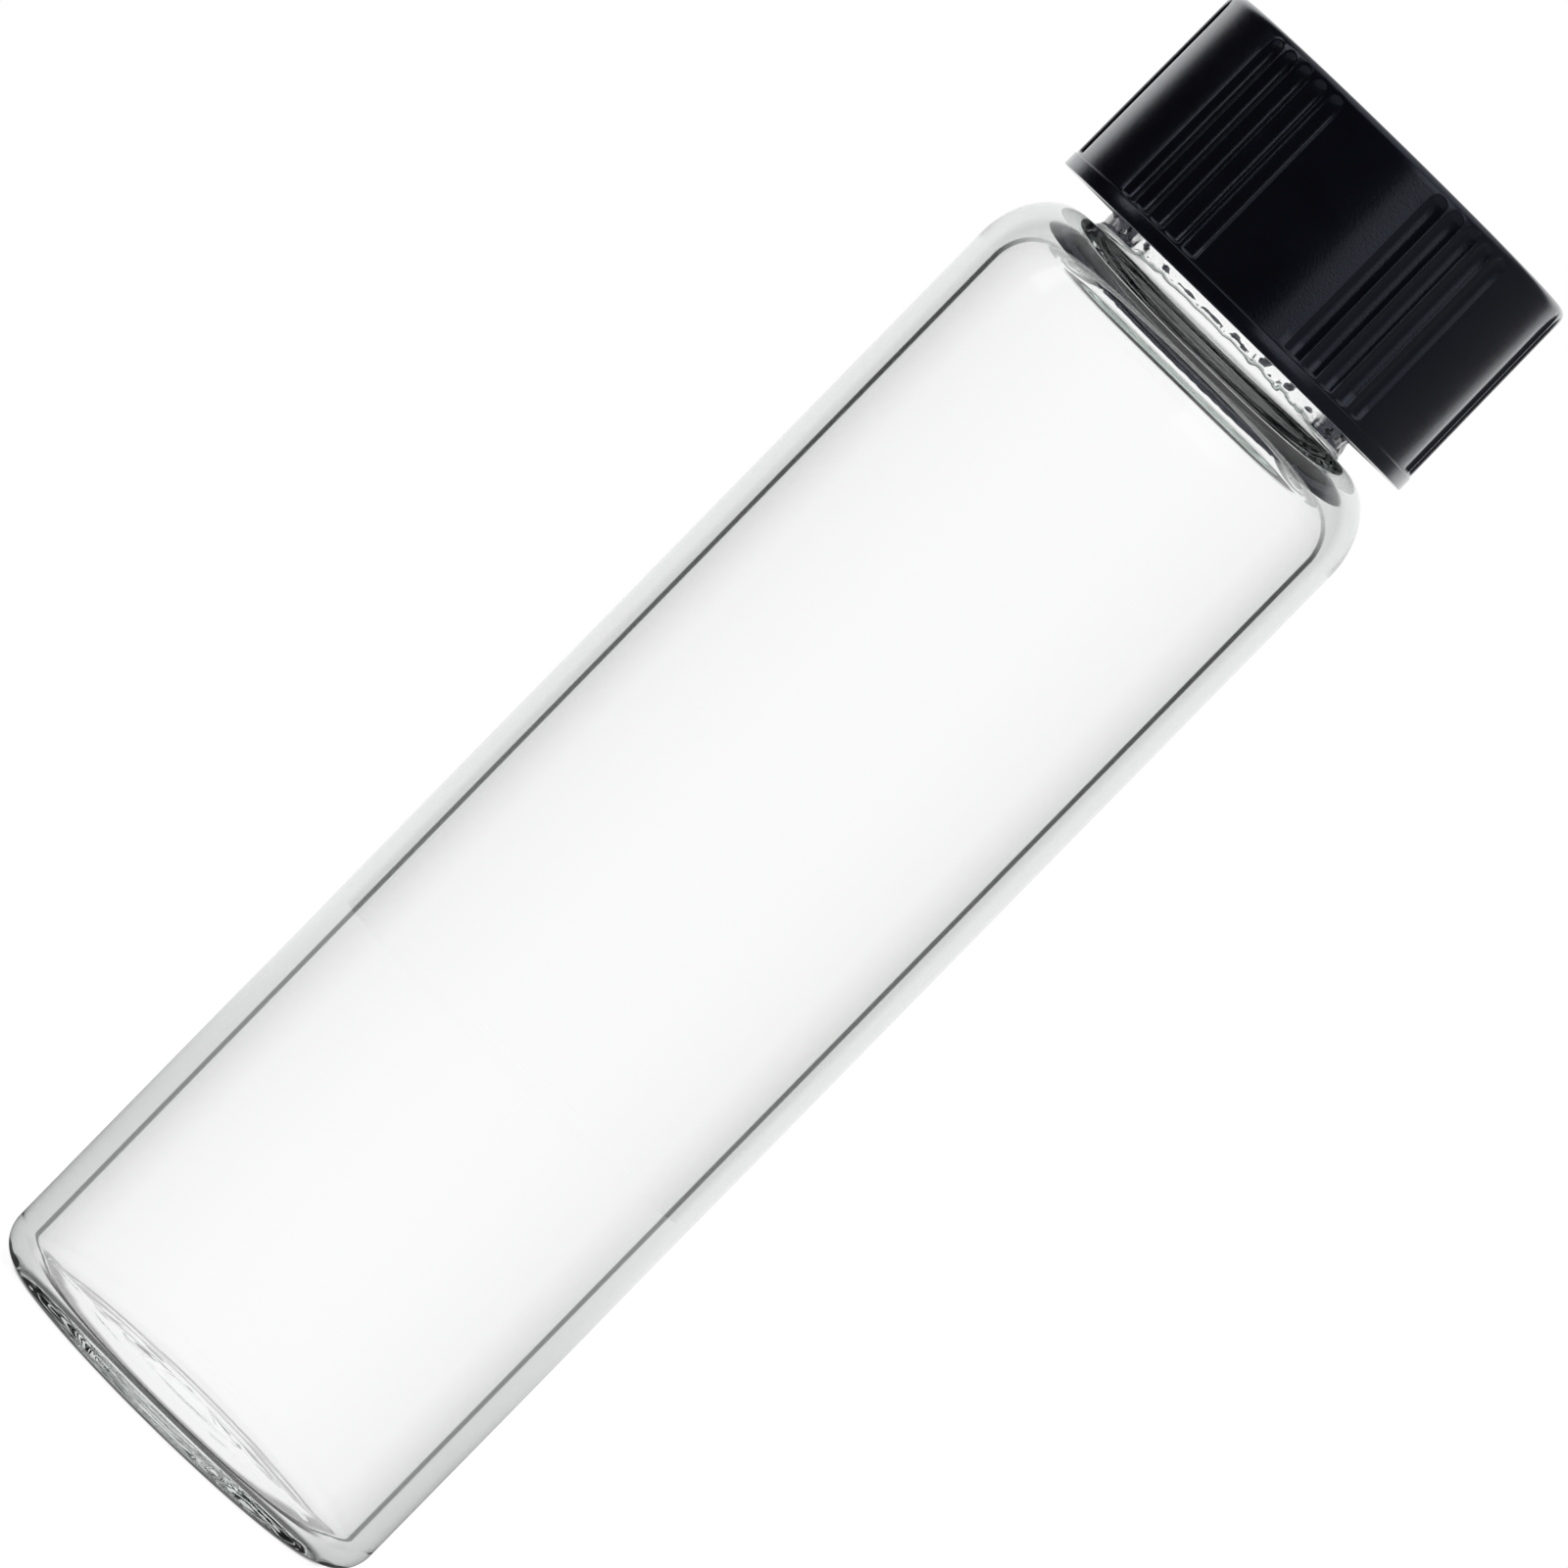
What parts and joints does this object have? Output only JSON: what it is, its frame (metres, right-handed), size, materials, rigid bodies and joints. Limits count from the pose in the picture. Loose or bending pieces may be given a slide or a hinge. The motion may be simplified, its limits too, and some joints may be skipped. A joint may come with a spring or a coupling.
{
  "type": "glass sample vial",
  "caption": "Clear glass sample vial: round body with a rounded shoulder and a threaded neck, closed by a black fluted screw cap with a sealing liner inside.",
  "frame": {"origin": "middle of the base, on the plane that the vial stands on", "axes": "+Z along the vial's axis, from the base up through the cap; X and Y lie across it, with the middle of a smooth panel of the cap close to -Y"},
  "size_m": [0.022, 0.022, 0.0792],
  "materials": {
    "clear_glass": "clear colourless glass, fire-polished, faintly green where it is thick",
    "black_plastic": "moulded black plastic, half gloss, with a fine grain",
    "liner_foam": "off-white closed-cell foam, matte"
  },
  "bodies": {
    "vial": {"glass_vial": "clear_glass"},
    "liner": {"cap_liner": "liner_foam"},
    "cap": {"screw_cap": "black_plastic"}
  },
  "joints": [
    {"name": "cap_lift", "type": "slide", "parent": "vial", "child": "liner", "axis": [0, 0, 1], "range_m": [0, 0.01111]},
    {"name": "cap_turn", "type": "hinge", "parent": "liner", "child": "cap", "pos_m": [0, 0, 0.0778], "axis": [0, 0, 1], "range_deg": [0, 1260]}
  ],
  "couplings": [
    {"joint": "cap_lift", "follows": "cap_turn", "m_per_rad": 0.00050532}
  ]
}
